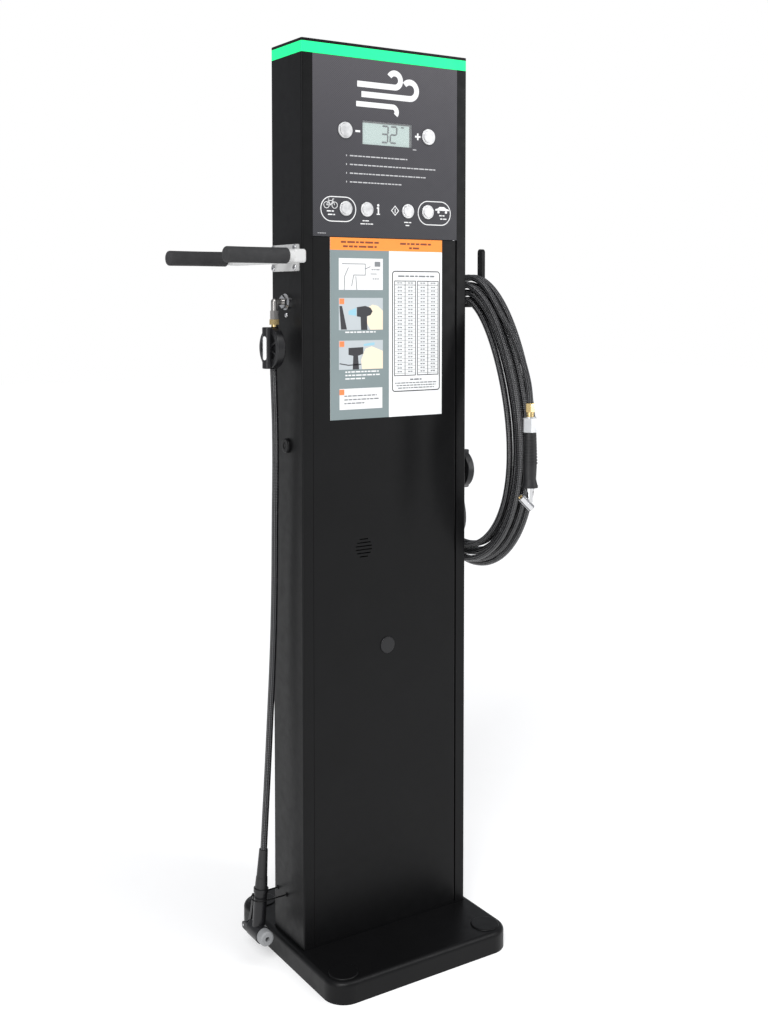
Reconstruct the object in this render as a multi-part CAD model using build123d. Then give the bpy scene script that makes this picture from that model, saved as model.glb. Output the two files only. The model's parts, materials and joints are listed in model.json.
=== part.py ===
"""Free-standing public air tower for bicycle and vehicle tyres.

Frame: +Z up, front of the column towards -Y, origin on the floor at the centre
of the four anchor holes. Millimetres.
"""
from build123d import *
import math
import os

# ---------------------------------------------------------------- driving sizes
HEIGHT = 1500.0
COLUMN_W, COLUMN_D, SHEET = 321.0, 102.0, 3.0
SIDE, FRONT, BACK = COLUMN_W / 2, -COLUMN_D / 2, COLUMN_D / 2
STRIP = 19.5                      # width of the folded strip each side of the door
OPEN_X = SIDE - STRIP             # half the width of the front opening
BEND = 3.0                        # outside radius of the folded corners

BASE, BASE_H, BASE_WALL = 344.0, 35.0, 4.0
BASE_CORNER, BASE_EDGE = 36.0, 8.0
PLATE_T, PLATE = 10.0, 330.0
ANCHOR, ANCHOR_HOLE, CAP_R = 139.0, 14.0, 23.8

CAP_T, BAND_Z, SPLIT_Z = 5.0, 1478.0, 1190.0
SILL_Z = 37.5
GAP = 0.5                         # gap round the door and the panel

DOOR_T, ROLL = 3.0, 4.0
HINGE_X, HINGE_Y, HINGE_PIN = OPEN_X - GAP - ROLL, FRONT + ROLL, 2.0
PANEL_T, OVERLAY_T = 3.0, 1.0

UPPER_Z, LOWER_Z = 1361.0, 1236.0
LCD_W, LCD_H, LCD_Z = 96.0, 38.0, 1360.0
SHEET_W, SHEET_H = 219.0, 294.0   # instruction sheet

LOCK_Z, CATCH_R = 853.0, 34.0
SOUNDER_X, SOUNDER_Z = -46.0, 682.0
PLUG_Z = 513.7

REST_Z, REST_X, REST_ARM, REST_TIP = 1156.3, -198.5, 106.5, -321.0
REST_R, SLEEVE_R, SLEEVE_IN = 10.0, 12.2, -217.0
REST_BAR, REST_BAR_EDGE, REST_BAR_WALL = 21.0, 4.5, 2.5   # square cross bar of the rest

FIT_OUT = 22.5                    # how far the elbows' down legs stand off the sides
BIKE_FIT_Z, VEHICLE_FIT_Z = 1086.0, 864.0
CABLE_X, SUPPLY_X = 60.0, -60.0   # cable gland and air inlet in the base plate
SENSOR_X, SENSOR_Z = -60.0, 1230.0
DISC_DROP, DISC_R, DISC_T, DISC_OUT = 73.7, 33.3, 14.0, 26.5
BARREL_R, BARREL_L, BARREL_OUT = 9.4, 66.5, 34.0
HOSE_OUT, HOSE_R, AIR_HOSE_R = 24.6, 5.6, 5.4

CHUCK = Location((-204.5, 25.0, 48.0), (0.0, 4.3, 0.0))

HOOK_TOP, HOOK_ARM_Z, HOOK_X, HOOK_T, HOOK_W = 1179.0, 1083.0, 235.5, 7.0, 13.0
COIL_X0, COIL_X1 = 184.0, 220.0
COIL_TOP, COIL_BOTTOM, COIL_OUT, COIL_IN = 1136.5, 608.0, 172.0, 134.0
COIL_INSIDE_BOTTOM, COIL_SAG = 648.0, 0.15
END_X, END_Y, END_Z = 178.0, -204.0, 921.0
HEAD_IN, HEAD_DROP = 8.0, 162.0    # middle of the double-ended chuck head
HEAD_TURN, HEAD_HALF, HEAD_R = 132.0, 15.0, 6.3

os.makedirs("parts", exist_ok=True)
SMALL_BUTTONS = {"bicycle": -80.0, "info": -40.0, "mode": 40.0, "vehicle": 80.0}
LARGE_BUTTONS = {"minus": -81.0, "plus": 81.0}


# ---------------------------------------------------------------- helpers
def block(x0, x1, y0, y1, z0, z1):
    """Box between two corners."""
    return Pos((x0 + x1) / 2, (y0 + y1) / 2, (z0 + z1) / 2) * Box(x1 - x0, y1 - y0, z1 - z0)


def rod(start, end, radius, tip=None):
    """Round bar, or cone when tip is given, between two points."""
    a, b = Vector(*start), Vector(*end)
    low = (Align.CENTER, Align.CENTER, Align.MIN)
    length = (b - a).length
    if tip is None:
        return Plane(origin=a, z_dir=b - a) * Cylinder(radius, length, align=low)
    return Plane(origin=a, z_dir=b - a) * Cone(radius, tip, length, align=low)


def hexagon(start, end, across):
    """Hexagonal bar between two points, across its flats."""
    a, b = Vector(*start), Vector(*end)
    face = Plane(origin=a, z_dir=b - a) * RegularPolygon(across / 2, 6, major_radius=False)
    return extrude(face, (b - a).length)


def save(shape, node):
    """Write one node."""
    export_step(shape, f"parts/{node}.step")


def group(solids):
    """Several separate solids in one node."""
    return Compound(children=list(solids))


def tube(points, radius, node):
    """Round tube on straight runs joined by arcs as large as the runs allow."""
    vectors = [Vector(*p) for p in points]
    radii = []
    for before, here, after in zip(vectors, vectors[1:], vectors[2:]):
        runs = (here - before, after - here)
        turn = math.radians(runs[0].get_angle(runs[1]))
        radii.append(0.45 * min(r.length for r in runs) / math.tan(turn / 2))
    path = FilletPolyline(*vectors, radius=radii)
    start = Plane(origin=path @ 0, z_dir=path % 0)
    solid = sweep(start * Circle(radius), path=path)
    ratio = solid.volume / (math.pi * radius ** 2 * path.length)
    print(node, "radii", [round(r) for r in radii], "length", round(path.length, 1),
          "volume ratio", round(ratio, 4))
    return solid


# ---------------------------------------------------------------- base
def make_base():
    spots = [(x, y) for x in (-ANCHOR, ANCHOR) for y in (-ANCHOR, ANCHOR)]
    plate = extrude(RectangleRounded(PLATE, PLATE, BASE_CORNER - 7), PLATE_T)
    for x, y in spots:
        plate -= Pos(x, y, PLATE_T / 2) * Cylinder(ANCHOR_HOLE / 2, PLATE_T)
    for x, hole in ((CABLE_X, 12.0), (SUPPLY_X, 8.0)):
        plate -= Pos(x, 0, PLATE_T / 2) * Cylinder(hole + 0.2, PLATE_T)
    save(plate, "base_plate")

    cover = extrude(RectangleRounded(BASE, BASE, BASE_CORNER), BASE_H)
    cover = fillet(cover.faces().sort_by(Axis.Z)[-1].edges(), BASE_EDGE)
    inside = BASE - 2 * BASE_WALL
    cover -= extrude(RectangleRounded(inside, inside, BASE_CORNER - BASE_WALL), BASE_H - BASE_WALL)
    cover -= block(-SIDE - GAP, SIDE + GAP, FRONT - GAP, BACK + GAP, 0, BASE_H + 1)
    for x, y in spots:
        cover -= Pos(x, y, BASE_H) * Cylinder(CAP_R + 0.2, 12)
    save(cover, "base_cover")

    caps = []
    for x, y in spots:
        cap = Pos(x, y, BASE_H - 2) * Cylinder(CAP_R, 8)
        cap = fillet(cap.edges().sort_by(Axis.Z)[-1:], 2.0)
        caps.append(cap)
    save(group(caps), "anchor_caps")

    gland = rod((CABLE_X, 0, 0), (CABLE_X, 0, PLATE_T), 12.0)
    gland += rod((CABLE_X, 0, PLATE_T), (CABLE_X, 0, PLATE_T + 4), 16.0)
    gland += hexagon((CABLE_X, 0, PLATE_T + 4), (CABLE_X, 0, PLATE_T + 14), 26.0)
    gland += rod((CABLE_X, 0, PLATE_T + 14), (CABLE_X, 0, PLATE_T + 24), 11.0, 9.0)
    gland -= rod((CABLE_X, 0, 0), (CABLE_X, 0, PLATE_T + 24), 6.0)
    inlet = rod((SUPPLY_X, 0, 0), (SUPPLY_X, 0, PLATE_T), 8.0)
    inlet += hexagon((SUPPLY_X, 0, PLATE_T), (SUPPLY_X, 0, PLATE_T + 8), 22.0)
    inlet += rod((SUPPLY_X, 0, PLATE_T + 8), (SUPPLY_X, 0, PLATE_T + 22), 6.0)
    save(group([gland, inlet]), "base_inlets")


# ---------------------------------------------------------------- column
def make_column():
    tall = block(-SIDE, SIDE, FRONT, BACK, PLATE_T, BAND_Z)
    tall = fillet(tall.edges().filter_by(Axis.Z), BEND)
    tall -= block(-SIDE + SHEET, SIDE - SHEET, FRONT + SHEET, BACK - SHEET, PLATE_T, BAND_Z)
    tall -= block(-OPEN_X, OPEN_X, FRONT, 0, SILL_Z, BAND_Z)
    foot = block(-SIDE + 2, SIDE - 2, FRONT + 2, BACK - 2, PLATE_T, PLATE_T + 4)
    foot -= block(-SIDE + 30, SIDE - 30, FRONT + 22, BACK - 22, PLATE_T, PLATE_T + 4)
    tall += foot
    for z0, z1 in ((SILL_Z - 7, SILL_Z), (SPLIT_Z + 1, SPLIT_Z + 8)):
        tall += block(HINGE_X - 6, SIDE - 2, FRONT + OVERLAY_T + 0.1, FRONT + 9, z0, z1)
    for z in (SILL_Z, SPLIT_Z + 8):
        tall -= rod((HINGE_X, HINGE_Y, z - 7), (HINGE_X, HINGE_Y, z), HINGE_PIN)
    tall -= rod((-SIDE - 1, 0, BIKE_FIT_Z), (-SIDE + 5, 0, BIKE_FIT_Z), 6.5)
    tall -= rod((SIDE - 5, 0, VEHICLE_FIT_Z), (SIDE + 1, 0, VEHICLE_FIT_Z), 6.5)
    tall -= rod((-SIDE - 1, 0, LOCK_Z), (-SIDE + 5, 0, LOCK_Z), 9.6)
    save(tall, "column_shell")

    pins = [rod((HINGE_X, HINGE_Y, SILL_Z - 7), (HINGE_X, HINGE_Y, SILL_Z + 14), HINGE_PIN),
            rod((HINGE_X, HINGE_Y, SPLIT_Z - 14), (HINGE_X, HINGE_Y, SPLIT_Z + 8), HINGE_PIN)]
    save(group(pins), "hinge_pins")

    chassis = block(-150, 150, 38, 40, 60, 1400)
    for x in (-140, 140):
        for z in (80, 740, 1380):
            chassis += rod((x, 40, z), (x, BACK - SHEET, z), 6.0)
    save(chassis, "chassis_plate")


def ring(width, depth, wall, z0, z1):
    """Rectangular ring with plain inside corners."""
    return block(-width / 2, width / 2, -depth / 2, depth / 2, z0, z1) - block(
        -width / 2 + wall, width / 2 - wall, -depth / 2 + wall, depth / 2 - wall, z0, z1)


def make_top():
    top_z = HEIGHT - CAP_T
    cap = block(-SIDE, SIDE, FRONT, BACK, top_z, HEIGHT)
    cap = fillet(cap.edges().filter_by(Axis.Z), BEND)
    cap = fillet(cap.faces().sort_by(Axis.Z)[-1].edges(), 1.0)
    cap += ring(COLUMN_W - 15, COLUMN_D - 15, 2.0, BAND_Z - 12, top_z)
    save(cap, "top_cap")
    band = block(-SIDE, SIDE, FRONT, BACK, BAND_Z, top_z)
    band = fillet(band.edges().filter_by(Axis.Z), BEND)
    band -= block(-SIDE + 5, SIDE - 5, FRONT + 5, BACK - 5, BAND_Z, top_z)
    save(band, "light_band")
    save(ring(COLUMN_W - 12.6, COLUMN_D - 12.6, 1.2, BAND_Z + 2, top_z - 2), "led_strip")


# ---------------------------------------------------------------- door
def make_door():
    z0, z1 = SILL_Z + GAP, SPLIT_Z - GAP
    edge = OPEN_X - GAP
    back = FRONT + DOOR_T
    door = block(-edge, HINGE_X, FRONT, back, z0, z1)
    door += rod((HINGE_X, HINGE_Y, z0), (HINGE_X, HINGE_Y, z1), ROLL)
    strips = [block(-edge + 1, -edge + 4, back, back + 10, z0 + 4, z1 - 4)]
    for z in (z0 + 4, z1 - 7):
        strips.append(block(-edge + 4, HINGE_X - 10, back, back + 10, z, z + 3))
    for z in (z0, z1 - 15):
        door -= rod((HINGE_X, HINGE_Y, z), (HINGE_X, HINGE_Y, z + 15), HINGE_PIN + 0.08)
    for row, half in enumerate((8, 13, 15.5, 15.5, 13, 8)):
        z = SOUNDER_Z + 5.8 * (row - 2.5)
        door -= block(SOUNDER_X - half, SOUNDER_X + half, FRONT, back, z - 0.9, z + 0.9)
    door -= rod((0, FRONT, PLUG_Z), (0, back, PLUG_Z), 11.0)
    tab = block(-edge + 1, -edge + 4, back + 10, FRONT + 24, LOCK_Z - 10, LOCK_Z + 10)
    catch = rod((-edge + 4, -CATCH_R, LOCK_Z), (-edge + 13, -CATCH_R, LOCK_Z), 3.0)
    save(group([door.solid(), *strips, tab, catch]), "service_door")

    buzzer = rod((SOUNDER_X, back, SOUNDER_Z), (SOUNDER_X, back + 14, SOUNDER_Z), 24.0)
    buzzer -= rod((SOUNDER_X, back, SOUNDER_Z), (SOUNDER_X, back + 10, SOUNDER_Z), 22.0)
    buzzer += rod((SOUNDER_X, back + 4, SOUNDER_Z), (SOUNDER_X, back + 14, SOUNDER_Z), 14.0)
    save(buzzer, "sounder")

    plug = rod((0, FRONT - 2, PLUG_Z), (0, FRONT, PLUG_Z), 13.8)
    plug = fillet(plug.edges().sort_by(Axis.Y)[:1], 1.5)
    plug += rod((0, FRONT, PLUG_Z), (0, back, PLUG_Z), 10.9)
    plug += rod((0, back, PLUG_Z), (0, back + 3, PLUG_Z), 11.6, 10.4)
    save(plug, "blanking_plug")

    low = SPLIT_Z - 0.6 - SHEET_H
    save(block(-SHEET_W / 2, SHEET_W / 2, FRONT - 0.6, FRONT, low, low + SHEET_H), "instruction_sheet")


def make_lock():
    x = -SIDE
    lock = rod((x - 4.5, 0, LOCK_Z), (x, 0, LOCK_Z), 12.0)
    lock = fillet(lock.edges().sort_by(Axis.X)[:1], 2.0)
    lock += rod((x, 0, LOCK_Z), (x + 24, 0, LOCK_Z), 9.5)
    lock += hexagon((x + SHEET, 0, LOCK_Z), (x + SHEET + 5, 0, LOCK_Z), 24.0)
    lock -= rod((x - 4.5, 0, LOCK_Z), (x + 24, 0, LOCK_Z), 6.0)
    save(lock, "side_lock")

    cam_x = x + 24.3
    shaft = rod((x - 3.8, 0, LOCK_Z), (cam_x, 0, LOCK_Z), 5.92)
    shaft -= block(x - 3.8, x - 0.8, -0.6, 0.6, LOCK_Z - 4, LOCK_Z + 4)
    arm = block(cam_x, cam_x + 3, -4.5, 4.5, LOCK_Z - 40, LOCK_Z)
    arm = Pos(0, 0, LOCK_Z) * Rot(20, 0, 0) * Pos(0, 0, -LOCK_Z) * arm
    arm += rod((cam_x, 0, LOCK_Z), (cam_x + 3, 0, LOCK_Z), 9.0)
    finger = Plane.YZ * (Circle(44.8) - Circle(40.2))
    finger = Pos(cam_x, 0, LOCK_Z) * extrude(finger, 3)
    start, end = math.radians(26), math.radians(-7)
    wedge = Plane.YZ * Polyline((0, 0), (60 * math.sin(start), -60 * math.cos(start)),
                                (60 * math.sin(end), -60 * math.cos(end)), close=True)
    wedge = Pos(cam_x, 0, LOCK_Z) * extrude(make_face(wedge), 6, both=True)
    save(group([shaft.solid(), arm.solid(), (finger & wedge).solid()]), "lock_cam")


# ---------------------------------------------------------------- control panel
def push_button(x, z, flange_r, barrel_r, plunger_r):
    """Body, nut and plunger of one push button."""
    mouth = FRONT - 2.5
    body = rod((x, mouth, z), (x, FRONT, z), flange_r)
    body = fillet(body.edges().sort_by(Axis.Y)[:1], 1.2)
    body += rod((x, FRONT, z), (x, FRONT + 28, z), barrel_r)
    body -= rod((x, mouth, z), (x, FRONT + 8, z), plunger_r + 0.08)
    nut_y = FRONT + OVERLAY_T + PANEL_T
    nut = hexagon((x, nut_y, z), (x, nut_y + 4, z), 2 * barrel_r + 7)
    nut -= rod((x, nut_y, z), (x, nut_y + 4, z), barrel_r)
    plunger = rod((x, mouth - 1.2, z), (x, FRONT + 5, z), plunger_r)
    plunger = fillet(plunger.edges().sort_by(Axis.Y)[:1], 0.6)
    return body, nut, plunger


def make_panel():
    z0, z1 = SPLIT_Z + GAP, BAND_Z - GAP
    edge = OPEN_X - GAP
    face_y = FRONT + OVERLAY_T
    back = face_y + PANEL_T
    plate = block(-edge, edge, face_y, back, z0, z1)
    plate -= block(HINGE_X - 7, edge, face_y, back, z0, z0 + 9)
    for side in (-1, 1):
        for z in (z0 + 60, z1 - 60):
            tab = block(edge - 3, edge + 10, FRONT + SHEET + 0.1, back + 1.5, z - 15, z + 15)
            plate += tab if side > 0 else mirror(tab, about=Plane.YZ)
    overlay = block(-edge, edge, FRONT, face_y, z0, z1)
    window = block(-LCD_W / 2, LCD_W / 2, FRONT, back, LCD_Z - LCD_H / 2, LCD_Z + LCD_H / 2)
    plate -= window
    overlay -= window

    bodies, nuts, plungers = [], [], {}
    sizes = [(LARGE_BUTTONS, UPPER_Z, 13.3, 11.8, 10.2), (SMALL_BUTTONS, LOWER_Z, 12.0, 10.5, 9.0)]
    for row, z, flange_r, barrel_r, plunger_r in sizes:
        for name, x in row.items():
            hole = rod((x, FRONT, z), (x, back, z), barrel_r + 0.05)
            plate -= hole
            overlay -= hole
            body, nut, plungers[name] = push_button(x, z, flange_r, barrel_r, plunger_r)
            bodies.append(body)
            nuts.append(nut)
    save(plate, "panel_plate")
    save(overlay, "control_overlay")
    save(group(bodies), "button_bodies")
    save(group(nuts), "button_nuts")
    for name, plunger in plungers.items():
        save(plunger, f"button_{name}")

    save(block(-LCD_W / 2 + 0.1, LCD_W / 2 - 0.1, FRONT + 0.1, FRONT + 1.6,
               LCD_Z - LCD_H / 2 + 0.1, LCD_Z + LCD_H / 2 - 0.1), "lcd_window")
    lcd = block(-52, 52, back, back + 6, LCD_Z - 24, LCD_Z + 24)
    lcd -= block(-47, 47, back, back + 1.5, LCD_Z - 18, LCD_Z + 18)
    save(lcd, "lcd_module")
    board = block(-118, 118, FRONT + 32, FRONT + 33.6, 1205, 1400)
    for x in (-110, 110):
        for z in (1212, 1392):
            board += rod((x, back, z), (x, FRONT + 32, z), 3.5)
    board += block(-40, 40, FRONT + 33.6, FRONT + 42, 1260, 1300)
    board += block(60, 100, FRONT + 33.6, FRONT + 46, 1215, 1235)
    board += rod((SENSOR_X, FRONT + 33.6, SENSOR_Z), (SENSOR_X, FRONT + 44, SENSOR_Z), 7.0)
    board += rod((SENSOR_X, FRONT + 44, SENSOR_Z), (SENSOR_X, FRONT + 54, SENSOR_Z), 2.5)
    save(board, "control_board")


# ---------------------------------------------------------------- bicycle rest
def make_rest():
    x0 = -SIDE - 4.5
    plate = block(x0, -SIDE, -43, 43, REST_Z - 21.3, REST_Z + 21.3)
    plate = fillet(plate.edges().filter_by(Axis.X), 3.0)
    holes = [(y, REST_Z + dz) for y in (-36, 36) for dz in (-15.6, 15.6)]
    for y, z in holes:
        plate -= rod((x0, y, z), (-SIDE, y, z), 3.2)
    save(plate, "rest_plate")

    half = REST_BAR / 2
    reach = REST_ARM + half
    bar = block(REST_X - half, REST_X + half, -reach, reach, REST_Z - half, REST_Z + half)
    bar = fillet(bar.edges(), REST_BAR_EDGE)
    for y in (-REST_ARM, REST_ARM):
        bar += rod((REST_TIP + 4, y, REST_Z), (REST_X, y, REST_Z), REST_R)
    for y in (-26, 26):
        bar += rod((x0, y, REST_Z), (REST_X, y, REST_Z), 8.0)
    for y in (-REST_ARM, REST_ARM):
        bar -= rod((REST_TIP + 4, y, REST_Z), (REST_X, y, REST_Z), REST_R - 2)
    half -= REST_BAR_WALL
    reach -= REST_BAR_WALL
    bar -= block(REST_X - half, REST_X + half, -reach, reach, REST_Z - half, REST_Z + half)
    save(bar, "rest_tube")

    sleeves = []
    for y in (-REST_ARM, REST_ARM):
        sleeve = rod((REST_TIP, y, REST_Z), (SLEEVE_IN, y, REST_Z), SLEEVE_R)
        sleeve = fillet(sleeve.edges().sort_by(Axis.X)[:1], 4.0)
        sleeve = fillet(sleeve.edges().sort_by(Axis.X)[-1:], 1.5)
        sleeve -= rod((REST_TIP + 4, y, REST_Z), (SLEEVE_IN, y, REST_Z), REST_R)
        sleeves.append(sleeve)
    save(group(sleeves), "rest_sleeves")

    screws = []
    for y, z in holes:
        screw = rod((x0 - 2.6, y, z), (x0, y, z), 5.2)
        screw = fillet(screw.edges().sort_by(Axis.X)[:1], 2.0)
        screw += rod((x0, y, z), (-SIDE, y, z), 3.1)
        screw -= hexagon((x0 - 2.6, y, z), (x0 - 0.8, y, z), 4.0)
        screws.append(screw)
    for side, fit_z in ((-1, BIKE_FIT_Z), (1, VEHICLE_FIT_Z)):
        z = fit_z - 21.5
        screw = rod((side * (SIDE + 2.6), 0, z), (side * SIDE, 0, z), 3.8)
        screws.append(fillet(screw.edges().sort_by(Axis.X)[-1 if side > 0 else 0], 2.0))
    for z in (HOOK_ARM_Z - 45, HOOK_ARM_Z + 20):
        for y in (-13, 13):
            screw = rod((SIDE + 4, y, z), (SIDE + 6.6, y, z), 4.6)
            screws.append(fillet(screw.edges().sort_by(Axis.X)[-1:], 1.8))
    save(group(screws), "case_screws")


# ---------------------------------------------------------------- hose fittings
def hose_fitting(side, z):
    """Bulkhead, elbow, brass nut, disc and barrel of one hose outlet."""
    def at(out, y=0.0, drop=0.0):
        return (side * (SIDE + out), y, z - drop)

    bulkhead = rod(at(0), at(3), 13.2) + hexagon(at(3), at(9), 19.0)
    bulkhead += rod(at(-24), at(0), 6.45) + hexagon(at(-9), at(-SHEET), 19.0)

    leg = 14.0
    elbow = rod(at(9), at(FIT_OUT), 5.3) + Pos(*at(FIT_OUT)) * Sphere(5.6)
    elbow += rod(at(FIT_OUT), at(FIT_OUT, drop=leg), 5.6)
    elbow += hexagon(at(FIT_OUT, drop=leg), at(FIT_OUT, drop=28), 13.2)

    nut = hexagon(at(FIT_OUT, drop=28), at(FIT_OUT, drop=36.5), 15.4)
    nut += rod(at(FIT_OUT, drop=36.5), at(FIT_OUT, drop=40), 5.2)

    disc = rod(at(DISC_OUT - DISC_T / 2, drop=DISC_DROP), at(DISC_OUT + DISC_T / 2, drop=DISC_DROP), DISC_R)
    disc = fillet(disc.edges().filter_by(GeomType.CIRCLE), 2.0)
    for face in (-1, 1):
        out = DISC_OUT + face * DISC_T / 2
        inner = DISC_OUT + face * (DISC_T / 2 - 3)
        dish = rod(at(min(out, inner), drop=DISC_DROP), at(max(out, inner), drop=DISC_DROP), 25.0)
        dish -= rod(at(min(out, inner), drop=DISC_DROP), at(max(out, inner), drop=DISC_DROP), 8.0)
        for step in range(4):
            spoke = Box(4, 52, 3.2)
            spoke = Pos(*at((out + inner) / 2, drop=DISC_DROP)) * Rot(22.5 + 45 * step, 0, 0) * spoke
            dish -= spoke
        disc -= dish
    disc += rod(at(FIT_OUT, drop=40), at(FIT_OUT, drop=52), 6.2)
    disc += rod(at(HOSE_OUT, drop=107), at(HOSE_OUT, drop=90), 6.8)
    top, bottom = DISC_DROP - BARREL_L / 2, DISC_DROP + BARREL_L / 2
    disc -= rod(at(BARREL_OUT, drop=top - 12), at(BARREL_OUT, drop=bottom + 12), BARREL_R + 0.1)

    barrel = rod(at(BARREL_OUT, drop=bottom), at(BARREL_OUT, drop=top), BARREL_R)
    barrel = fillet(barrel.edges().filter_by(GeomType.CIRCLE), 1.6)
    return bulkhead, elbow, nut, disc, barrel


def make_fittings():
    left = hose_fitting(-1, BIKE_FIT_Z)
    right = hose_fitting(1, VEHICLE_FIT_Z)
    names = ("bulkhead_fittings", "hose_elbows", "brass_nuts", "inline_discs", "inline_barrels")
    for name, *pair in zip(names, left, right):
        save(group(pair), name)


# ---------------------------------------------------------------- bicycle hose and chuck
BIKE_HOSE = [
    (-SIDE - HOSE_OUT, 0, BIKE_FIT_Z - 107), (-183.2, 0.8, 937), (-181.2, 1.8, 893), (-179.6, 4.0, 824),
    (-179.5, 7.5, 735), (-178.6, 11.2, 626), (-180.0, 14.6, 518), (-184.2, 18.0, 408), (-188.6, 21.0, 303),
    (-191.8, 22.9, 238), (-194.4, 24.0, 183.6),
]


def make_bike_hose():
    save(tube(BIKE_HOSE, HOSE_R, "bike_hose"), "bike_hose")

    relief = rod((0, 0, 90), (0, 0, 136), 9.0, 7.2)
    relief += rod((0, 0, 72), (0, 0, 90), 10.4, 9.6)
    save(CHUCK * relief, "chuck_relief")

    body = rod((0, 0, 0), (0, 0, 66), 10.8)
    body += rod((0, 0, 66), (0, 0, 72), 12.3)
    head = rod((0, -18, 0), (0, 20, 0), 14.0)
    head = fillet(head.edges().sort_by(Axis.Y)[-1:], 3.0)
    body += head
    for x0, x1 in ((-12.5, -9), (9, 12.5)):
        body += block(x0, x1, 10, 30, -6, 6) + rod((x0, 30, 0), (x1, 30, 0), 6.0)
    body -= block(-9, 9, 21.5, 40, -20, 20)
    body -= rod((-12.5, 30, 0), (12.5, 30, 0), 2.0)
    save(CHUCK * body, "chuck_body")

    nozzle = rod((0, -33, 0), (0, -18, 0), 12.4)
    nozzle = fillet(nozzle.edges().sort_by(Axis.Y)[:1], 3.5)
    nozzle -= rod((0, -33, 0), (0, -21, 0), 4.0)
    save(CHUCK * nozzle, "chuck_nozzle")

    outline = Polyline((24.8, -2), (24, 8), (21.5, 20), (19.8, 34), (19.2, 50), (20.4, 54), (24.4, 53.4),
                       (25.2, 40), (27.4, 22), (31.5, 10), (35.4, -2), close=True)
    lever = extrude(make_face(Plane.YZ * outline), 3.4, both=True)
    lever += rod((-8.7, 30, 0), (8.7, 30, 0), 5.8)
    lever -= rod((-8.7, 30, 0), (8.7, 30, 0), 2.05)
    save(CHUCK * lever, "chuck_lever")
    save(CHUCK * rod((-13.2, 30, 0), (13.2, 30, 0), 2.0), "lever_pin")

    z, near, far, middle, tip = 104.0, 9.5, 40.5, 25.0, -200.5
    bow = Line((-SIDE - 1.5, near, z), (tip, near, z))
    bow += ThreePointArc((tip, near, z), (tip - (far - near) / 2, middle, z), (tip, far, z))
    bow += Line((tip, far, z), (-SIDE - 1.5, far, z))
    hoop = sweep(Plane(origin=bow @ 0, z_dir=bow % 0) * Circle(1.2), path=bow)
    for y in (near, far):
        hoop += rod((-SIDE - 1.5, y, z), (-SIDE, y, z), 3.5)
    save(hoop, "chuck_hoop")


# ---------------------------------------------------------------- vehicle hose
LEAD = [
    (SIDE + HOSE_OUT, 0, VEHICLE_FIT_Z - 107), (185.4, -6, 733), (187, -10, 709), (190, -4, 687),
    (194, 14, 669.5), (198, 38, 664), (199, 62, 671),
]
TAIL = [
    (203, -98, 1060), (201.5, -122, 1038), (197.5, -146, 1013), (191.5, -169, 985.5),
    (184.5, -188, 962), (179.3, -200.5, 941), (END_X, END_Y, END_Z),
]


def loop(half_width, top, bottom):
    """Outline of a hanging turn of hose, rounder at its bottom than over the hook."""
    middle, half_height = (top + bottom) / 2, (top - bottom) / 2
    points = []
    for step in range(16):
        turn = 2 * math.pi * step / 16
        sag = 1 - COIL_SAG * math.cos(turn)
        points.append((half_width * math.sin(turn) * sag, middle + half_height * math.cos(turn)))
    return make_face(Spline(points, periodic=True))


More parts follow.
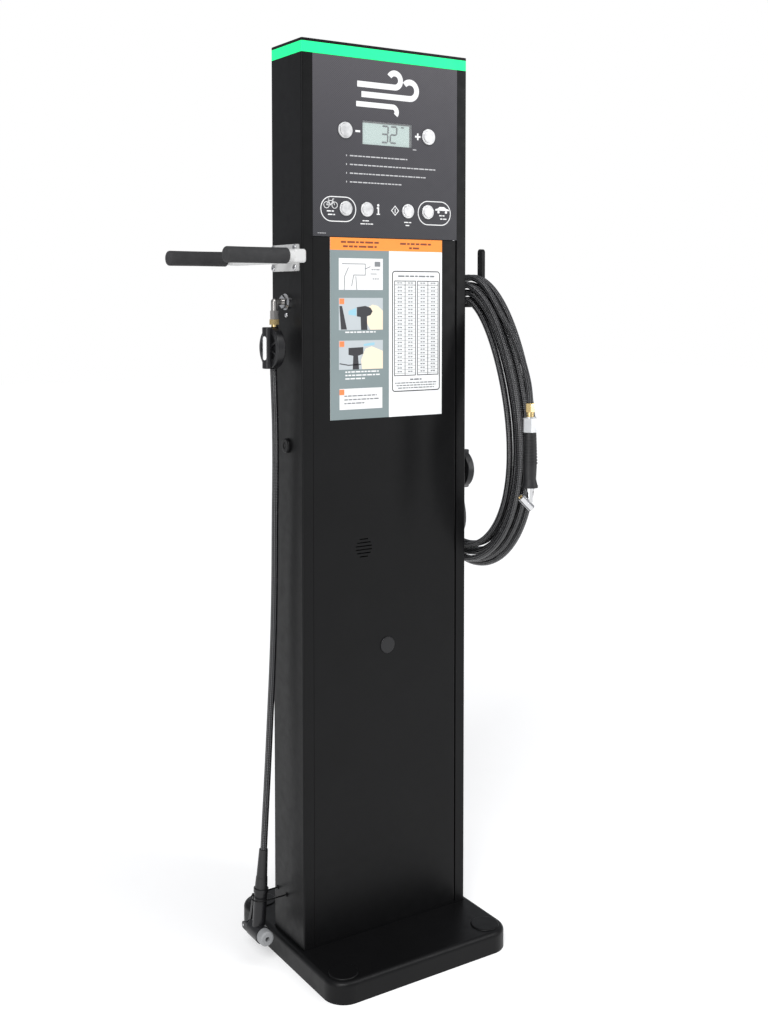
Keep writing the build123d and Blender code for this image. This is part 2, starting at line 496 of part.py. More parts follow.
def make_vehicle_hose():
    hook = block(HOOK_X - HOOK_T, HOOK_X, -HOOK_W / 2, HOOK_W / 2, HOOK_ARM_Z - HOOK_T, HOOK_TOP)
    hook = fillet(hook.edges().filter_by(Axis.X).sort_by(Axis.Z)[-2:], HOOK_W / 2 - 0.2)
    hook += block(SIDE + 3, HOOK_X - 1, -HOOK_W / 2, HOOK_W / 2, HOOK_ARM_Z - HOOK_T, HOOK_ARM_Z)
    hook += block(SIDE, SIDE + 4, -22, 22, HOOK_ARM_Z - 58, HOOK_ARM_Z + 33)
    save(hook, "hose_hook")

    section = loop(COIL_OUT, COIL_TOP, COIL_BOTTOM) - loop(COIL_IN, HOOK_ARM_Z + 0.8, COIL_INSIDE_BOTTOM)
    coil = extrude(Plane(origin=(COIL_X0, 0, 0), x_dir=(0, 1, 0), z_dir=(1, 0, 0)) * section,
                   COIL_X1 - COIL_X0)
    save(coil, "vehicle_hose_coil")
    save(tube(LEAD, AIR_HOSE_R, "vehicle_hose_lead"), "vehicle_hose_lead")
    save(tube(TAIL, AIR_HOSE_R, "vehicle_hose_tail"), "vehicle_hose_tail")

    def at(drop):
        return (END_X, END_Y, END_Z - drop)

    fitting = hexagon(at(14), at(0), 14.0) + rod(at(22), at(14), 6.4)
    save(fitting, "end_fitting")
    nut = hexagon(at(47), at(24), 21.5) + rod(at(24), at(22), 9.5)
    save(nut, "swivel_nut")

    grip = rod(at(104), at(47.3), 11.4, 9.3)
    grip += rod(at(124), at(104), 10.4, 11.4)
    grip += rod(at(134), at(124), 12.6, 10.4)
    grip += rod(at(138), at(134), 13.4)
    for step in range(10):
        drop = 54 + 5 * step
        grip += rod(at(drop), at(drop - 2.4), 10.6 + 0.2 * step)
    save(grip, "chuck_grip")

    twin = rod(at(HEAD_DROP), at(138), 5.0) + rod(at(144), at(138), 6.4)
    head = Pos(END_X - HEAD_IN, END_Y, END_Z - HEAD_DROP) * Rot(0, HEAD_TURN, 0)
    twin += head * rod((0, 0, -HEAD_HALF), (0, 0, HEAD_HALF), HEAD_R)
    mouths = {"upper": head * Pos(0, 0, -HEAD_HALF), "lower": head * Pos(0, 0, HEAD_HALF) * Rot(180, 0, 0)}
    for name, mouth in mouths.items():
        twin -= mouth * rod((0, 0, 0), (0, 0, 7), 4.1)
        twin -= mouth * rod((0, 0, 7), (0, 0, 13), 1.06)
        pin = rod((0, 0, 0.8), (0, 0, 3), 1.6) + rod((0, 0, 3), (0, 0, 4.8), 4.03)
        pin += rod((0, 0, 4.8), (0, 0, 10.6), 1.0)
        save(mouth * pin, f"valve_pin_{name}")
    save(twin, "twin_chuck")


# ---------------------------------------------------------------- inside
def make_inside():
    back_y = 38.0
    air_filter = rod((SUPPLY_X, 0, 180), (SUPPLY_X, 0, 260), 24.0)
    air_filter += rod((SUPPLY_X, 0, 170), (SUPPLY_X, 0, 180), 14.0, 24.0)
    air_filter += block(SUPPLY_X - 28, SUPPLY_X + 28, -24, 24, 260, 300)
    air_filter += rod((SUPPLY_X, 0, 300), (SUPPLY_X, 0, 345), 17.0)
    air_filter += block(SUPPLY_X - 20, SUPPLY_X + 20, 24, back_y, 264, 296)
    save(air_filter, "air_filter")

    manifold = block(30, 120, 4, back_y, 500, 535)
    for x in (50, 100):
        manifold += rod((x, 21, 535), (x, 21, 545), 6.0)
    manifold += rod((75, 21, 535), (75, 21, 565), 8.0)
    save(manifold, "valve_manifold")
    coils = [block(x - 15, x + 15, -28, 4, 503, 533) for x in (52, 98)]
    save(group(coils), "solenoid_valves")
    save(block(-130, -25, -4, back_y, 860, 1040), "power_supply")

    bike_in = (-SIDE + 24, 0, BIKE_FIT_Z)
    car_in = (SIDE - 24, 0, VEHICLE_FIT_Z)
    sensor = (SENSOR_X, FRONT + 54, SENSOR_Z)
    lines = [
        [(SUPPLY_X, 0, PLATE_T + 22), (SUPPLY_X, 0, 120), (-110, 0, 150), (-110, 0, 280),
         (SUPPLY_X - 28, 0, 280)],
        [(SUPPLY_X + 28, 0, 280), (0, 0, 280), (0, 21, 400), (0, 21, 517), (30, 21, 517)],
        [(50, 21, 545), (50, 21, 640), (0, 16, 700), (0, 10, 1040), (-60, 0, BIKE_FIT_Z), bike_in],
        [(100, 21, 545), (100, 21, 700), (90, 10, 820), (112, 0, VEHICLE_FIT_Z), car_in],
        [(75, 21, 565), (75, 21, 640), (30, 20, 720), (30, 20, 1190), (SENSOR_X, 20, SENSOR_Z), sensor],
    ]
    solids = []
    for points in lines:
        path = FilletPolyline(*points, radius=10)
        solids.append(sweep(Plane(origin=path @ 0, z_dir=path % 0) * Circle(4.0), path=path))
    save(group(solids), "air_lines")


make_base()
make_column()
make_top()
make_door()
make_lock()
make_panel()
make_rest()
make_fittings()
make_bike_hose()
make_vehicle_hose()
make_inside()
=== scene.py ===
"""Looks of the free-standing air tower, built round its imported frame. Metres."""
import bpy
import bmesh
import json
import math
import random
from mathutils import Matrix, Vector


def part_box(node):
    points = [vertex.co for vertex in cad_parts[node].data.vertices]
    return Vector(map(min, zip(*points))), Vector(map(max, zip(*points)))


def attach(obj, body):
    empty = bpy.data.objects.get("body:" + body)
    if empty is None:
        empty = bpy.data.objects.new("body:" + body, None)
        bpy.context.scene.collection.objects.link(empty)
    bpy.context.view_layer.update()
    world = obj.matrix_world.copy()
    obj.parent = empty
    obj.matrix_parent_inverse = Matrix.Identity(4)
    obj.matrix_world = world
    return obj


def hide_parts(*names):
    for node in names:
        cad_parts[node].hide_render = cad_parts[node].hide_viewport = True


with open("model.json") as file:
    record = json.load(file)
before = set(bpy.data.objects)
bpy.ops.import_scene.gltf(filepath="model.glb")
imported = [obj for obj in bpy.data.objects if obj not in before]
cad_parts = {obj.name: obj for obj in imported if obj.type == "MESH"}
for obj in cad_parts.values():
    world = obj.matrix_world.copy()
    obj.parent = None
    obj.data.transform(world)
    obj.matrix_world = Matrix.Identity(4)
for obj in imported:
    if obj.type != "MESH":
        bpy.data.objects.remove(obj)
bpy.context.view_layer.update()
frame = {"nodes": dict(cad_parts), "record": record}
NODES = frame["nodes"]
MM = 0.001
SCENE = bpy.context.scene


# ---------------------------------------------------------------- camera
def make_camera():
    data = bpy.data.cameras.new("camera")
    data.sensor_width = 36
    data.lens = 43.59
    data.shift_y = -0.1484
    camera = bpy.data.objects.new("camera", data)
    camera.location = (-1.1111, -1.7690, 1.0910)
    camera.rotation_euler = (math.radians(90 - 2.829), 0, math.radians(-32.734))
    SCENE.collection.objects.link(camera)
    SCENE.camera = camera


make_camera()


# ---------------------------------------------------------------- materials
def nodes_of(name):
    """New node material: its tree, its shader and its object coordinates."""
    made = bpy.data.materials.new(name)
    made.use_nodes = True
    tree = made.node_tree
    shader = tree.nodes["Principled BSDF"]
    place = tree.nodes.new("ShaderNodeTexCoord")
    return made, tree, shader, place


def noise(tree, vector, scale, detail=4.0, rough=0.55):
    node = tree.nodes.new("ShaderNodeTexNoise")
    node.inputs["Scale"].default_value = scale
    node.inputs["Detail"].default_value = detail
    node.inputs["Roughness"].default_value = rough
    tree.links.new(vector, node.inputs["Vector"])
    return node.outputs["Fac"]


def ramp(tree, fac, stops):
    """Colour ramp with (place, colour) stops."""
    node = tree.nodes.new("ShaderNodeValToRGB")
    while len(node.color_ramp.elements) < len(stops):
        node.color_ramp.elements.new(0.5)
    for element, (place, colour) in zip(node.color_ramp.elements, stops):
        element.position = place
        element.color = (*colour, 1)
    tree.links.new(fac, node.inputs["Fac"])
    return node.outputs["Color"]


def spread(tree, fac, low, high):
    """Maps the middle of a noise onto a range."""
    node = tree.nodes.new("ShaderNodeMapRange")
    node.inputs["From Min"].default_value = 0.3
    node.inputs["From Max"].default_value = 0.7
    node.inputs["To Min"].default_value = low
    node.inputs["To Max"].default_value = high
    tree.links.new(fac, node.inputs["Value"])
    return node.outputs["Result"]


def bump(tree, shader, height, strength, distance):
    node = tree.nodes.new("ShaderNodeBump")
    node.inputs["Strength"].default_value = strength
    node.inputs["Distance"].default_value = distance
    tree.links.new(height, node.inputs["Height"])
    tree.links.new(node.outputs["Normal"], shader.inputs["Normal"])


def shade(colour, factor):
    return tuple(min(1.0, c * factor) for c in colour)


def surface(name, colour, rough, metal=0.0, grain=900.0, lift=0.00008, vary=0.12, specular=0.5,
            coat=0.0, stretch=(1, 1, 1), strength=0.4):
    """Material with mottled colour, uneven gloss and a fine grain."""
    made, tree, shader, place = nodes_of(name)
    mapping = tree.nodes.new("ShaderNodeMapping")
    mapping.inputs["Scale"].default_value = stretch
    tree.links.new(place.outputs["Object"], mapping.inputs["Vector"])
    vector = mapping.outputs["Vector"]
    patches = noise(tree, vector, 14.0)
    tint = ramp(tree, patches, [(0.3, shade(colour, 1 - vary)), (0.7, shade(colour, 1 + vary))])
    tree.links.new(tint, shader.inputs["Base Color"])
    gloss = spread(tree, noise(tree, vector, 60.0), rough * 0.85, min(1.0, rough * 1.15))
    tree.links.new(gloss, shader.inputs["Roughness"])
    bump(tree, shader, noise(tree, vector, grain, 3.0), strength, lift)
    shader.inputs["Metallic"].default_value = metal
    shader.inputs["Specular IOR Level"].default_value = specular
    shader.inputs["Coat Weight"].default_value = coat
    return made


def wave(tree, operation, value, *rest):
    node = tree.nodes.new("ShaderNodeMath")
    node.operation = operation
    tree.links.new(value, node.inputs[0])
    for place, other in enumerate(rest, 1):
        if isinstance(other, (int, float)):
            node.inputs[place].default_value = other
        else:
            tree.links.new(other, node.inputs[place])
    return node.outputs[0]


def braid_with_painted_glints(name, length, colour):
    """Braided rubber cover: two families of crossing ridges round the hose, coloured with painted shade in
    the grooves and painted glints on the crests.
    """
    made, tree, shader, place = nodes_of(name)
    parts = tree.nodes.new("ShaderNodeSeparateXYZ")
    tree.links.new(place.outputs["UV"], parts.inputs["Vector"])
    along = wave(tree, "MULTIPLY", parts.outputs["X"], 2 * math.pi * length / 0.005)
    around = wave(tree, "MULTIPLY", parts.outputs["Y"], 2 * math.pi * 5)
    one = wave(tree, "SINE", wave(tree, "ADD", along, around))
    two = wave(tree, "SINE", wave(tree, "SUBTRACT", along, around))
    weave = wave(tree, "MULTIPLY_ADD", wave(tree, "MULTIPLY", one, two), 0.5, 0.5)
    # Painted shade in the grooves, a quarter of the base colour, and painted glints on the crests, forty
    # times the base colour.
    tint = ramp(tree, weave, [(0.0, shade(colour, 0.25)), (0.80, colour), (1.0, shade(colour, 40.0))])
    tree.links.new(tint, shader.inputs["Base Color"])
    gloss = spread(tree, noise(tree, place.outputs["Object"], 120.0), 0.18, 0.28)
    tree.links.new(gloss, shader.inputs["Roughness"])
    shader.inputs["Specular IOR Level"].default_value = 0.6
    bump(tree, shader, weave, 0.9, 0.0009)
    return made


def dotted_panel():
    """Printed overlay with a fine field of dots, lighter towards its top by a painted sheen."""
    made, tree, shader, place = nodes_of("printed_panel_and_sheen")
    parts = tree.nodes.new("ShaderNodeSeparateXYZ")
    tree.links.new(place.outputs["Object"], parts.inputs["Vector"])
    low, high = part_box("control_overlay")
    painted_sheen_rise = tree.nodes.new("ShaderNodeMapRange")
    painted_sheen_rise.inputs["From Min"].default_value = low.z
    painted_sheen_rise.inputs["From Max"].default_value = high.z
    tree.links.new(parts.outputs["Z"], painted_sheen_rise.inputs["Value"])
    # Painted sheen: dark at the overlay's foot, lighter towards its top.
    tint = ramp(tree, painted_sheen_rise.outputs["Result"],
                [(0.0, (0.040, 0.040, 0.046)), (0.55, (0.056, 0.054, 0.062)), (1.0, (0.082, 0.078, 0.087))])
    pitch = 2 * math.pi / 0.0036
    across = wave(tree, "SINE", wave(tree, "MULTIPLY", parts.outputs["X"], pitch))
    upward = wave(tree, "SINE", wave(tree, "MULTIPLY", parts.outputs["Z"], pitch))
    dots = wave(tree, "GREATER_THAN", wave(tree, "MULTIPLY", across, upward), 0.45)
    mix = tree.nodes.new("ShaderNodeMix")
    mix.data_type = "RGBA"
    mix.blend_type = "MULTIPLY"
    tree.links.new(wave(tree, "MULTIPLY", dots, 0.75), mix.inputs["Factor"])
    tree.links.new(tint, mix.inputs["A"])
    mix.inputs["B"].default_value = (0.25, 0.25, 0.27, 1)
    tree.links.new(mix.outputs["Result"], shader.inputs["Base Color"])
    gloss = spread(tree, noise(tree, place.outputs["Object"], 40.0), 0.42, 0.5)
    tree.links.new(gloss, shader.inputs["Roughness"])
    bump(tree, shader, noise(tree, place.outputs["Object"], 1500.0), 0.2, 0.00005)
    shader.inputs["Specular IOR Level"].default_value = 0.35
    return made


def turned_steel(name, centres):
    """Steel push button faces, with fine rings turned round each button's centre."""
    made, tree, shader, place = nodes_of(name)
    parts = tree.nodes.new("ShaderNodeSeparateXYZ")
    tree.links.new(place.outputs["Object"], parts.inputs["Vector"])
    nearest = None
    for x, z in centres:
        across = wave(tree, "SUBTRACT", parts.outputs["X"], x)
        upward = wave(tree, "SUBTRACT", parts.outputs["Z"], z)
        square = wave(tree, "MULTIPLY", across, across)
        reach = wave(tree, "SQRT", wave(tree, "MULTIPLY_ADD", upward, upward, square))
        nearest = reach if nearest is None else wave(tree, "MINIMUM", nearest, reach)
    rings = wave(tree, "SINE", wave(tree, "MULTIPLY", nearest, 2 * math.pi / 0.0009))
    uneven = noise(tree, place.outputs["Object"], 90.0)
    height = wave(tree, "MULTIPLY_ADD", rings, 0.5, uneven)
    tint = ramp(tree, uneven, [(0.3, (0.50, 0.50, 0.505)), (0.7, (0.80, 0.80, 0.80))])
    tree.links.new(tint, shader.inputs["Base Color"])
    gloss = spread(tree, uneven, 0.36, 0.48)
    tree.links.new(gloss, shader.inputs["Roughness"])
    shader.inputs["Metallic"].default_value = 1.0
    bump(tree, shader, height, 0.25, 0.00008)
    return made


def painted_glow_band():
    """Green translucent band with a painted glow from a weak emission."""
    made = surface("green_band", (0.015, 0.85, 0.26), 0.4, grain=400.0, vary=0.04, specular=0.2)
    shader = made.node_tree.nodes["Principled BSDF"]
    # Painted glow: a weak emission lifts the green, with no lamp behind it.
    shader.inputs["Emission Color"].default_value = (0.02, 1.0, 0.30, 1)
    shader.inputs["Emission Strength"].default_value = 0.35
    return made


def clear():
    """Clear display window."""
    made = surface("clear_window", (0.85, 0.88, 0.88), 0.12, grain=300.0, lift=0.00002, vary=0.02,
                   strength=0.02)
    made.node_tree.nodes["Principled BSDF"].inputs["Alpha"].default_value = 0.10
    return made


BUTTON_CENTRES = []
for name in ("minus", "plus", "bicycle", "info", "mode", "vehicle"):
    low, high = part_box(f"button_{name}")
    BUTTON_CENTRES.append(((low.x + high.x) / 2, (low.z + high.z) / 2))

MATERIALS = {
    "black_paint": surface("black_paint", (0.0035, 0.0035, 0.0038), 0.38, grain=1100.0, specular=0.17),
    "zinc_steel": surface("zinc_steel", (0.60, 0.61, 0.62), 0.34, 1.0, grain=500.0, vary=0.15),
    "bright_steel": surface("bright_steel", (0.60, 0.60, 0.61), 0.24, 1.0, grain=700.0, vary=0.06),
    "brushed": turned_steel("brushed", BUTTON_CENTRES),
    "chrome": surface("chrome", (0.72, 0.72, 0.73), 0.12, 1.0, grain=200.0, lift=0.00003, vary=0.03),
    "brass": surface("brass", (0.66, 0.50, 0.24), 0.24, 1.0, grain=500.0, vary=0.08),
    "alu": surface("alu", (0.72, 0.73, 0.75), 0.35, 1.0, grain=700.0, stretch=(1, 1, 0.1)),
    "white_paint": surface("white_paint", (0.58, 0.58, 0.575), 0.4, grain=900.0, vary=0.03, specular=0.3),
    "nickel": surface("nickel", (0.40, 0.385, 0.37), 0.3, 1.0, grain=700.0, vary=0.08),
    "green_band": painted_glow_band(),
    "white_plastic": surface("white_plastic", (0.82, 0.82, 0.82), 0.45, vary=0.03),
    "black_plastic": surface("black_plastic", (0.007, 0.007, 0.008), 0.32, grain=1600.0, vary=0.2,
                             specular=0.4),
    "grey_plastic": surface("grey_plastic", (0.24, 0.245, 0.25), 0.42, grain=1200.0, vary=0.05),
    "black_rubber": surface("black_rubber", (0.009, 0.009, 0.010), 0.48, grain=1400.0, lift=0.00012,
                            vary=0.2),
    "foam_rubber": surface("foam_rubber", (0.024, 0.024, 0.025), 0.78, grain=1300.0, lift=0.0004, vary=0.15,
                           strength=0.8),
    "hose_rubber": braid_with_painted_glints("hose_rubber", 1.0, (0.007, 0.007, 0.0075)),
    "printed_sheet": surface("printed_sheet", (0.86, 0.87, 0.87), 0.5, grain=500.0, vary=0.015),
    "printed_overlay": dotted_panel(),
    "clear_window": clear(),
    "lcd": surface("lcd", (0.50, 0.60, 0.55), 0.4, vary=0.03, strength=0.05),
    "circuit_board": surface("circuit_board", (0.02, 0.16, 0.06), 0.4, grain=300.0, vary=0.4),
    "blue_tube": surface("blue_tube", (0.02, 0.08, 0.40), 0.25, vary=0.05),
}
PRINT = {
    "white": surface("print_white", (0.80, 0.80, 0.80), 0.5, vary=0.02, specular=0.2),
    "faint": surface("print_faint", (0.50, 0.50, 0.51), 0.5, vary=0.03, specular=0.2),
    "umber": surface("print_umber", (0.20, 0.045, 0.015), 0.5, vary=0.05),
    "grey": surface("print_grey", (0.20, 0.21, 0.22), 0.5, vary=0.04),
    "ink": surface("print_ink", (0.03, 0.03, 0.035), 0.45, vary=0.1),
    "orange": surface("print_orange", (0.95, 0.30, 0.06), 0.5, vary=0.03, specular=0.2),
    "peach": surface("print_peach", (0.90, 0.24, 0.08), 0.5, vary=0.03),
    "slate": surface("print_slate", (0.205, 0.255, 0.26), 0.5, vary=0.03),
    "mist": surface("print_mist", (0.48, 0.52, 0.54), 0.5, vary=0.03),
    "cream": surface("print_cream", (0.86, 0.74, 0.56), 0.5, vary=0.03),
    "sky": surface("print_sky", (0.30, 0.55, 0.66), 0.5, vary=0.03),
    "lcd_face": surface("lcd_face", (0.43, 0.53, 0.50), 0.4, vary=0.02, specular=0.2, strength=0.02),
    "lcd_ink": surface("lcd_ink", (0.05, 0.065, 0.065), 0.4, vary=0.05),
}


def dress_frame():
    """Gives every shown CAD node its finished material."""
    for row in frame["record"]["subparts"]:
        mesh = NODES[row["node"]].data
        mesh.materials.clear()
        mesh.materials.append(MATERIALS[row["material_slot"]])


dress_frame()


# ---------------------------------------------------------------- making pieces
def add(name, mesh, material, body="tower"):
    piece = bpy.data.objects.new(name, mesh)
    SCENE.collection.objects.link(piece)
    mesh.materials.append(material)
    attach(piece, body)
    return piece


def cord_curve(name, points, radius, material):
    """Smooth hose through control points, in millimetres."""
    curve = bpy.data.curves.new(name, "CURVE")
    curve.dimensions = "3D"
    curve.bevel_depth = radius * MM
    curve.bevel_resolution = 6
    curve.resolution_u = 10
    curve.use_fill_caps = True
    spline = curve.splines.new("NURBS")
    spline.points.add(len(points) - 1)
    for spot, point in zip(spline.points, points):
        spot.co = (*(c * MM for c in point), 1)
    spline.order_u = 3
    spline.use_endpoint_u = True
    curve.materials.append(material)
    piece = bpy.data.objects.new(name, curve)
    SCENE.collection.objects.link(piece)
    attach(piece, "tower")
    return piece


BIKE_HOSE = [
    (-185.1, 0, 979), (-183.2, 0.8, 937), (-181.2, 1.8, 893), (-179.6, 4.0, 824),
    (-179.5, 7.5, 735), (-178.6, 11.2, 626), (-180.0, 14.6, 518), (-184.2, 18.0, 408), (-188.6, 21.0, 303),
    (-191.8, 22.9, 238), (-194.4, 24.0, 183.6),
]
LEAD = [
    (185.1, 0, 757), (185.4, -6, 733), (187, -10, 709), (190, -4, 687), (194, 14, 669.5), (198, 38, 664),
    (199, 62, 671),
]
TAIL = [
    (203, -98, 1060), (201.5, -122, 1038), (197.5, -146, 1013), (191.5, -169, 985.5),
    (184.5, -188, 962), (179.3, -200.5, 941), (178, -204, 921),
]
# Each turn of the coil: x and z at its top, x and z at its bottom, and its half width.
TURNS = [
    (194, 1089.5, 190, 654, 131), (206, 1089.5, 203, 656, 133), (208, 1102.5, 213, 644, 144.5),
    (196, 1102.5, 199, 642, 147.5), (194, 1115.5, 189, 631, 160.5), (206, 1115.5, 206, 628, 162),
    (214, 1128.5, 217, 620, 166), (203, 1128.5, 204, 614, 171),
]
COIL_START, COIL_SWEEP, COIL_STEPS, COIL_SAG, INNER_SAG = 139.0, 2679.0, 149, 0.15, 0.25


def coil_route():
    """Turns hung over the hook; each passes to the next on the side away from the front."""
    step = COIL_SWEEP / COIL_STEPS
    reach = 1 / math.cos(math.radians(step / 2))
    points = []
    for index in range(COIL_STEPS + 1):
        degrees = COIL_START - index * step
        passed = (157 - degrees) / 360 + 0.06
        turn = min(int(passed), len(TURNS) - 1)
        share = min(1.0, (passed - turn) / 0.5) if turn else 1.0
        share = share * share * (3 - 2 * share)
        before = TURNS[max(turn - 1, 0)]
        top_x, top, low_x, bottom, half = (b + (a - b) * share for a, b in zip(TURNS[turn], before))
        angle = math.radians(degrees)
        middle, height = (top + bottom) / 2, (top - bottom) / 2
        level = (1 - math.cos(angle)) / 2
        sag = INNER_SAG + (COIL_SAG - INNER_SAG) * min(1.0, max(0.0, passed) / (len(TURNS) - 1))
        y = half * math.sin(angle) * (1 - sag * math.cos(angle))
        points.append((top_x + (low_x - top_x) * level, y * reach,
                       middle + height * math.cos(angle) * reach))
    return points


def make_hoses():
    bike = cord_curve("bike_hose_cover", BIKE_HOSE, 5.6, braid_with_painted_glints("bike_braid", 0.79, (0.007, 0.007, 0.0075)))
    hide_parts("bike_hose")

    vehicle = cord_curve("vehicle_hose_cover", LEAD + coil_route() + TAIL, 5.4,
                         braid_with_painted_glints("vehicle_braid", 9.8, (0.007, 0.007, 0.0075)))
    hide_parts("vehicle_hose_lead", "vehicle_hose_coil", "vehicle_hose_tail")


make_hoses()


# ---------------------------------------------------------------- printed graphics
class Print:
    """Thin printed shapes on a plane facing the front, in millimetres."""

    def __init__(self, name, y, colour, body="tower", slot="printed_overlay", origin=(0, 0), down=False):
        self.mesh = bmesh.new()
        self.name, self.y, self.colour, self.body, self.slot = name, y, colour, body, slot
        self.origin, self.sign = origin, -1 if down else 1

    def spot(self, point):
        x, z = point
        return Vector((self.origin[0] + x, self.y, self.origin[1] + self.sign * z)) * MM

    def face(self, points):
        corners = [self.mesh.verts.new(self.spot(p)) for p in points]
        self.mesh.faces.new(corners)

    def box(self, x0, z0, x1, z1):
        self.face([(x0, z0), (x1, z0), (x1, z1), (x0, z1)])

    def disc(self, x, z, radius, sides=40):
        turns = [2 * math.pi * i / sides for i in range(sides)]
        self.face([(x + radius * math.cos(t), z + radius * math.sin(t)) for t in turns])

    def ribbon(self, points, width, closed=False):
        """Line of even width with mitred corners."""
        count = len(points)
        sides = []
        for index, (x, z) in enumerate(points):
            before = points[index - 1] if closed or index else points[index]
            after = points[(index + 1) % count] if closed or index < count - 1 else points[index]
            one = Vector((x - before[0], z - before[1]))
            two = Vector((after[0] - x, after[1] - z))
            one = one.normalized() if one.length else two.normalized()
            two = two.normalized() if two.length else one
            normal = Vector((-(one + two).y, (one + two).x)).normalized()
            reach = width / 2 / max(0.4, normal.dot(Vector((-one.y, one.x))))
            sides.append(((x + normal.x * reach, z + normal.y * reach),
                          (x - normal.x * reach, z - normal.y * reach)))
        pairs = list(zip(sides, sides[1:] + sides[:1])) if closed else list(zip(sides, sides[1:]))
        rows = {side: [self.mesh.verts.new(self.spot(p)) for p in side] for side in sides}
        for a, b in pairs:
            self.mesh.faces.new((rows[a][0], rows[b][0], rows[b][1], rows[a][1]))

    def ring(self, x, z, radius, width, sides=40):
        turns = [2 * math.pi * i / sides for i in range(sides)]
        self.ribbon([(x + radius * math.cos(t), z + radius * math.sin(t)) for t in turns], width, True)

    def rounded(self, x0, z0, x1, z1, radius, width):
        """Outline with round corners."""
        self.ribbon(rounded_outline(x0, z0, x1, z1, radius), width, True)

    def words(self, x, z, right, height, seed):
        """Row of plain bars in place of wording."""
        dice = random.Random(seed)
        while x < right - height:
            length = min(right - x, height * dice.uniform(1.6, 5.2))
            self.box(x, z - height / 2, x + length, z + height / 2)
            x += length + height * 0.75

    def done(self):
        bmesh.ops.recalc_face_normals(self.mesh, faces=self.mesh.faces)
        for one in self.mesh.faces:
            if one.normal.y > 0:
                one.normal_flip()
        grown = bmesh.ops.extrude_face_region(self.mesh, geom=self.mesh.faces[:])
        raised = [v for v in grown["geom"] if isinstance(v, bmesh.types.BMVert)]
        bmesh.ops.translate(self.mesh, vec=(0, -0.00012, 0), verts=raised)
        bmesh.ops.recalc_face_normals(self.mesh, faces=self.mesh.faces)
        mesh = bpy.data.meshes.new(self.name)
        self.mesh.to_mesh(mesh)
        self.mesh.free()
        return add(self.name, mesh, PRINT[self.colour], self.body)


def rounded_outline(x0, z0, x1, z1, radius, sides=10):
    corners = [(x1 - radius, z1 - radius, 0), (x0 + radius, z1 - radius, 90),
               (x0 + radius, z0 + radius, 180), (x1 - radius, z0 + radius, 270)]
    points = []
    for x, z, start in corners:
        for step in range(sides + 1):
            turn = math.radians(start + 90 * step / sides)
            points.append((x + radius * math.cos(turn), z + radius * math.sin(turn)))
    return points


def arc(x, z, radius, start, end, sides=24):
    turns = [math.radians(start + (end - start) * i / sides) for i in range(sides + 1)]
    return [(x + radius * math.cos(t), z + radius * math.sin(t)) for t in turns]


PANEL_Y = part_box("control_overlay")[0].y / MM - 0.02


def make_panel_print():
    white = Print("panel_marks", PANEL_Y, "white")
    # moving air: three streams, each ending in a curl
    white.ribbon([(-58, 1437), (14, 1437)] + arc(14, 1448.5, 11.5, -80, 150), 9.5)
    white.ribbon([(-50, 1421), (44, 1421)] + arc(44, 1434.5, 13.5, -80, 140), 9.5)
    white.ribbon([(-60, 1405), (10, 1405)] + arc(10, 1397, 8, 80, -40, 12), 8.5)
    # signs beside the buttons and the display
    white.box(-61.5, 1359.4, -52.5, 1362.6)
    white.face([(54.5, 1358.6), (58.5, 1358.6), (58.5, 1354.6), (61.5, 1354.6), (61.5, 1358.6),
                (65.5, 1358.6), (65.5, 1361.6), (61.5, 1361.6), (61.5, 1365.6), (58.5, 1365.6),
                (58.5, 1361.6), (54.5, 1361.6)])
    faint = Print("panel_wording", PANEL_Y, "faint")
    faint.words(50, 1338, 57, 1.5, 2)
    for row, right in enumerate((42, 99, 76, 30)):
        z = 1321 - 14 * row
        faint.box(-79, z - 1.4, -77.6, z + 1.4)
        faint.words(-72, z, right, 1.9, 10 + row)
    faint.words(-132, 1195.5, -117, 1.1, 3)
    faint.done()
    # bicycle and vehicle groups
    white.rounded(-126, 1215, -61, 1254, 19.4, 1.5)
    white.rounded(61, 1215, 127, 1254, 19.4, 1.5)
    for x in (-115.5, -100.5):
        white.ring(x, 1240.5, 5.0, 0.9)
    for line in ([(-115.5, 1240.5), (-112, 1247.5), (-103.5, 1247.5), (-100.5, 1240.5)],
                 [(-112, 1247.5), (-108, 1240.5), (-103.5, 1247.5)], [(-115.5, 1240.5), (-108, 1240.5)],
                 [(-113, 1249.6), (-110.5, 1249.6)], [(-103.5, 1247.5), (-104.5, 1250), (-101.5, 1250.4)]):
        white.ribbon(line, 0.95)
    white.face([(96, 1239.4), (96, 1241.8), (101, 1243), (105, 1245.8), (114, 1245.8), (118.5, 1243),
                (124, 1241.8), (124, 1239.4)])
    for x in (102.5, 118):
        white.disc(x, 1237, 2.3)
    for x, z, seed in ((-115, 1231, 5), (-113, 1225.5, 6), (104, 1231, 7), (106, 1225.5, 8)):
        white.words(x, z, x + 13, 1.9, seed)
    # information and mode signs
    white.disc(-18, 1243.4, 2.1)
    white.ribbon([(-20.6, 1239), (-17.6, 1239), (-17.6, 1229.6)], 2.6)
    white.box(-21, 1228, -14.6, 1230)
    white.ribbon([(15, 1243.5), (22, 1236), (15, 1228.5), (8, 1236)], 1.3, True)
    white.box(14.2, 1232.5, 15.8, 1239.5)
    for x, z, length, seed in ((-48, 1217.5, 14, 21), (-52, 1212.5, 24, 22),
                               (33, 1217.5, 14, 23), (36, 1212.5, 8, 24)):
        white.words(x, z, x + length, 1.7, seed)
    white.done()


